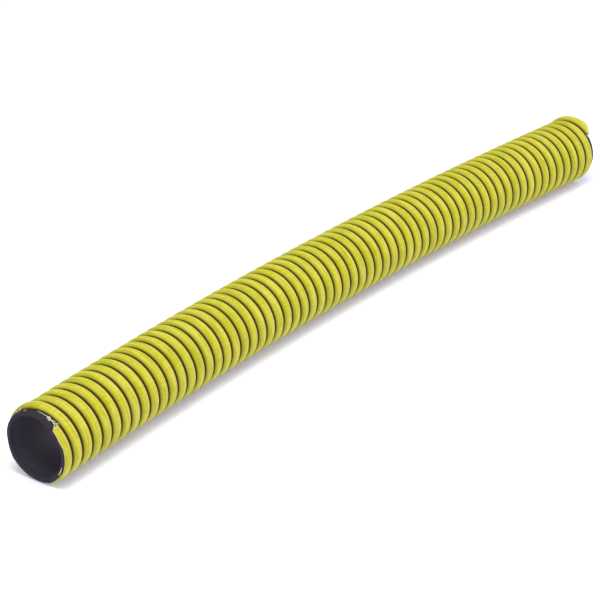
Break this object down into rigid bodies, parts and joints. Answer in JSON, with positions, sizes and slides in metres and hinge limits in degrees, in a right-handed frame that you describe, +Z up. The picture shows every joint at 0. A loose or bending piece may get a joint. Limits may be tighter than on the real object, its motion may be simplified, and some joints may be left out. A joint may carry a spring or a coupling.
{
  "type": "helix-ribbed suction hose",
  "caption": "Bare length of flexible suction hose: black rubber wall with a smooth bore and one rigid yellow helix wound round the outside, bowed slightly, cut square at both ends.",
  "frame": {"origin": "middle of the base of the hose's outline, on the surface that the hose lies on", "axes": "+X along the hose from the near end to the far end, +Z up; the hose bows towards +Y in the horizontal plane"},
  "size_m": [0.7259, 0.0783, 0.062],
  "materials": {
    "liner_rubber": "smooth satin black rubber",
    "web_rubber": "matt black rubber",
    "helix_plastic": "satin sulphur-yellow polyethylene"
  },
  "bodies": {
    "root": {"inner_tube": "liner_rubber", "rubber_web": "web_rubber", "helix": "helix_plastic"}
  },
  "joints": []
}
